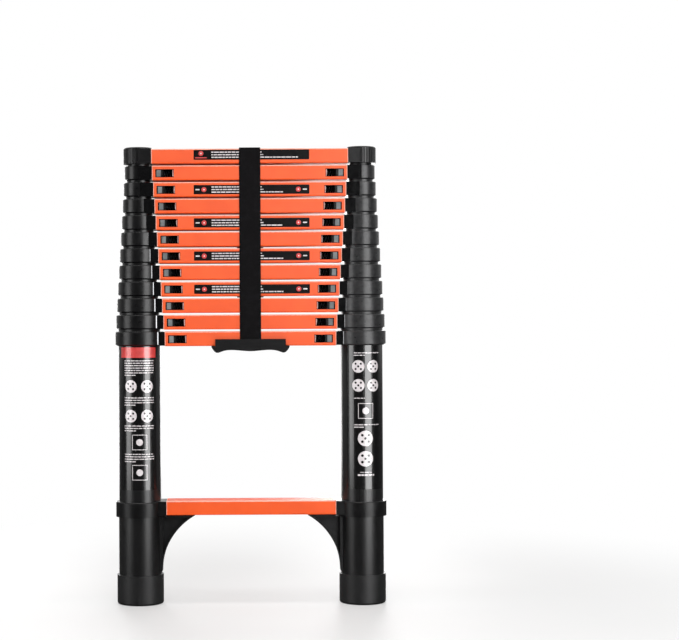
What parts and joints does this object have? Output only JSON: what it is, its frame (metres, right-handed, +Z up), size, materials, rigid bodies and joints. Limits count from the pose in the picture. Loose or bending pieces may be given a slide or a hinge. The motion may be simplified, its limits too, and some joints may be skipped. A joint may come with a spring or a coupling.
{
  "type": "telescoping ladder",
  "caption": "Collapsed telescoping ladder: nested round tubes in moulded collars, orange box rungs with thumb latches, arch gussets, rubber feet, carry handle and strap.",
  "frame": {"origin": "on the ground, midway between the two stiles, in the plane of the stile axes", "axes": "+Z up along the stiles, +X to the right seen from the front, +Y to the back"},
  "size_m": [0.4864, 0.087, 0.8178],
  "materials": {
    "rung_coat": "satin powder coat on an extruded aluminium box",
    "stile_black": "satin black coated tube with moulded black collars",
    "cap_plastic": "ribbed moulded black plastic",
    "latch_plastic": "grey-black moulded slider with a steel pin",
    "outer_tube_film": "black coated tube under a glossy label film",
    "collar_plastic": "fine-textured moulded black plastic",
    "sleeve_plastic": "satin black plastic",
    "gusset_plastic": "moulded black plastic",
    "foot_rubber": "matt black rubber",
    "handle_plastic": "moulded black plastic",
    "screw_steel": "zinc-plated steel",
    "strap_webbing": "woven black polyester webbing",
    "buckle_plastic": "moulded black acetal"
  },
  "bodies": {
    "frame": {"rung_12": "rung_coat", "rung_13": "rung_coat", "outer_tubes": "outer_tube_film", "fixed_collars": "collar_plastic", "lower_collars": "collar_plastic", "leg_sleeves": "sleeve_plastic", "arch_gussets": "gusset_plastic", "rubber_feet": "foot_rubber", "carry_handle": "handle_plastic", "handle_screws": "screw_steel", "carry_strap": "strap_webbing", "strap_adjuster": "buckle_plastic", "buckle_plug": "buckle_plastic", "buckle_socket": "buckle_plastic"},
    "section_01": {"rung_01": "rung_coat", "stiles_01": "stile_black", "top_caps": "cap_plastic"},
    "section_02": {"rung_02": "rung_coat", "stiles_02": "stile_black"},
    "section_03": {"rung_03": "rung_coat", "stiles_03": "stile_black"},
    "section_04": {"rung_04": "rung_coat", "stiles_04": "stile_black"},
    "section_05": {"rung_05": "rung_coat", "stiles_05": "stile_black"},
    "section_06": {"rung_06": "rung_coat", "stiles_06": "stile_black"},
    "section_07": {"rung_07": "rung_coat", "stiles_07": "stile_black"},
    "section_08": {"rung_08": "rung_coat", "stiles_08": "stile_black"},
    "section_09": {"rung_09": "rung_coat", "stiles_09": "stile_black"},
    "section_10": {"rung_10": "rung_coat", "stiles_10": "stile_black"},
    "section_11": {"rung_11": "rung_coat", "stiles_11": "stile_black"},
    "latch_left_02": {"latch_left_02": "latch_plastic"},
    "latch_left_03": {"latch_left_03": "latch_plastic"},
    "latch_left_04": {"latch_left_04": "latch_plastic"},
    "latch_left_05": {"latch_left_05": "latch_plastic"},
    "latch_left_06": {"latch_left_06": "latch_plastic"},
    "latch_left_07": {"latch_left_07": "latch_plastic"},
    "latch_left_08": {"latch_left_08": "latch_plastic"},
    "latch_left_09": {"latch_left_09": "latch_plastic"},
    "latch_left_10": {"latch_left_10": "latch_plastic"},
    "latch_left_11": {"latch_left_11": "latch_plastic"},
    "latch_left_12": {"latch_left_12": "latch_plastic"},
    "latch_right_02": {"latch_right_02": "latch_plastic"},
    "latch_right_03": {"latch_right_03": "latch_plastic"},
    "latch_right_04": {"latch_right_04": "latch_plastic"},
    "latch_right_05": {"latch_right_05": "latch_plastic"},
    "latch_right_06": {"latch_right_06": "latch_plastic"},
    "latch_right_07": {"latch_right_07": "latch_plastic"},
    "latch_right_08": {"latch_right_08": "latch_plastic"},
    "latch_right_09": {"latch_right_09": "latch_plastic"},
    "latch_right_10": {"latch_right_10": "latch_plastic"},
    "latch_right_11": {"latch_right_11": "latch_plastic"},
    "latch_right_12": {"latch_right_12": "latch_plastic"}
  },
  "joints": [
    {"name": "extend_11", "type": "slide", "parent": "frame", "child": "section_11", "axis": [0, 0, 1], "range_m": [0, 0.26685], "deforming": ["carry_strap"]},
    {"name": "extend_10", "type": "slide", "parent": "section_11", "child": "section_10", "axis": [0, 0, 1], "range_m": [0, 0.26685]},
    {"name": "extend_09", "type": "slide", "parent": "section_10", "child": "section_09", "axis": [0, 0, 1], "range_m": [0, 0.26685]},
    {"name": "extend_08", "type": "slide", "parent": "section_09", "child": "section_08", "axis": [0, 0, 1], "range_m": [0, 0.26685]},
    {"name": "extend_07", "type": "slide", "parent": "section_08", "child": "section_07", "axis": [0, 0, 1], "range_m": [0, 0.26685]},
    {"name": "extend_06", "type": "slide", "parent": "section_07", "child": "section_06", "axis": [0, 0, 1], "range_m": [0, 0.26685]},
    {"name": "extend_05", "type": "slide", "parent": "section_06", "child": "section_05", "axis": [0, 0, 1], "range_m": [0, 0.26685]},
    {"name": "extend_04", "type": "slide", "parent": "section_05", "child": "section_04", "axis": [0, 0, 1], "range_m": [0, 0.26685]},
    {"name": "extend_03", "type": "slide", "parent": "section_04", "child": "section_03", "axis": [0, 0, 1], "range_m": [0, 0.26685]},
    {"name": "extend_02", "type": "slide", "parent": "section_03", "child": "section_02", "axis": [0, 0, 1], "range_m": [0, 0.26685]},
    {"name": "extend_01", "type": "slide", "parent": "section_02", "child": "section_01", "axis": [0, 0, 1], "range_m": [0, 0.26685]},
    {"name": "latch_left_02_slide", "type": "slide", "parent": "section_02", "child": "latch_left_02", "axis": [1, 0, 0], "range_m": [0, 0.008], "stiffness_N_per_m": 300, "springref_m": -0.004},
    {"name": "latch_left_03_slide", "type": "slide", "parent": "section_03", "child": "latch_left_03", "axis": [1, 0, 0], "range_m": [0, 0.008], "stiffness_N_per_m": 300, "springref_m": -0.004},
    {"name": "latch_left_04_slide", "type": "slide", "parent": "section_04", "child": "latch_left_04", "axis": [1, 0, 0], "range_m": [0, 0.008], "stiffness_N_per_m": 300, "springref_m": -0.004},
    {"name": "latch_left_05_slide", "type": "slide", "parent": "section_05", "child": "latch_left_05", "axis": [1, 0, 0], "range_m": [0, 0.008], "stiffness_N_per_m": 300, "springref_m": -0.004},
    {"name": "latch_left_06_slide", "type": "slide", "parent": "section_06", "child": "latch_left_06", "axis": [1, 0, 0], "range_m": [0, 0.008], "stiffness_N_per_m": 300, "springref_m": -0.004},
    {"name": "latch_left_07_slide", "type": "slide", "parent": "section_07", "child": "latch_left_07", "axis": [1, 0, 0], "range_m": [0, 0.008], "stiffness_N_per_m": 300, "springref_m": -0.004},
    {"name": "latch_left_08_slide", "type": "slide", "parent": "section_08", "child": "latch_left_08", "axis": [1, 0, 0], "range_m": [0, 0.008], "stiffness_N_per_m": 300, "springref_m": -0.004},
    {"name": "latch_left_09_slide", "type": "slide", "parent": "section_09", "child": "latch_left_09", "axis": [1, 0, 0], "range_m": [0, 0.008], "stiffness_N_per_m": 300, "springref_m": -0.004},
    {"name": "latch_left_10_slide", "type": "slide", "parent": "section_10", "child": "latch_left_10", "axis": [1, 0, 0], "range_m": [0, 0.008], "stiffness_N_per_m": 300, "springref_m": -0.004},
    {"name": "latch_left_11_slide", "type": "slide", "parent": "section_11", "child": "latch_left_11", "axis": [1, 0, 0], "range_m": [0, 0.008], "stiffness_N_per_m": 300, "springref_m": -0.004},
    {"name": "latch_left_12_slide", "type": "slide", "parent": "frame", "child": "latch_left_12", "axis": [1, 0, 0], "range_m": [0, 0.008], "stiffness_N_per_m": 300, "springref_m": -0.004},
    {"name": "latch_right_02_slide", "type": "slide", "parent": "section_02", "child": "latch_right_02", "axis": [-1, 0, 0], "range_m": [0, 0.008], "stiffness_N_per_m": 300, "springref_m": -0.004},
    {"name": "latch_right_03_slide", "type": "slide", "parent": "section_03", "child": "latch_right_03", "axis": [-1, 0, 0], "range_m": [0, 0.008], "stiffness_N_per_m": 300, "springref_m": -0.004},
    {"name": "latch_right_04_slide", "type": "slide", "parent": "section_04", "child": "latch_right_04", "axis": [-1, 0, 0], "range_m": [0, 0.008], "stiffness_N_per_m": 300, "springref_m": -0.004},
    {"name": "latch_right_05_slide", "type": "slide", "parent": "section_05", "child": "latch_right_05", "axis": [-1, 0, 0], "range_m": [0, 0.008], "stiffness_N_per_m": 300, "springref_m": -0.004},
    {"name": "latch_right_06_slide", "type": "slide", "parent": "section_06", "child": "latch_right_06", "axis": [-1, 0, 0], "range_m": [0, 0.008], "stiffness_N_per_m": 300, "springref_m": -0.004},
    {"name": "latch_right_07_slide", "type": "slide", "parent": "section_07", "child": "latch_right_07", "axis": [-1, 0, 0], "range_m": [0, 0.008], "stiffness_N_per_m": 300, "springref_m": -0.004},
    {"name": "latch_right_08_slide", "type": "slide", "parent": "section_08", "child": "latch_right_08", "axis": [-1, 0, 0], "range_m": [0, 0.008], "stiffness_N_per_m": 300, "springref_m": -0.004},
    {"name": "latch_right_09_slide", "type": "slide", "parent": "section_09", "child": "latch_right_09", "axis": [-1, 0, 0], "range_m": [0, 0.008], "stiffness_N_per_m": 300, "springref_m": -0.004},
    {"name": "latch_right_10_slide", "type": "slide", "parent": "section_10", "child": "latch_right_10", "axis": [-1, 0, 0], "range_m": [0, 0.008], "stiffness_N_per_m": 300, "springref_m": -0.004},
    {"name": "latch_right_11_slide", "type": "slide", "parent": "section_11", "child": "latch_right_11", "axis": [-1, 0, 0], "range_m": [0, 0.008], "stiffness_N_per_m": 300, "springref_m": -0.004},
    {"name": "latch_right_12_slide", "type": "slide", "parent": "frame", "child": "latch_right_12", "axis": [-1, 0, 0], "range_m": [0, 0.008], "stiffness_N_per_m": 300, "springref_m": -0.004}
  ]
}
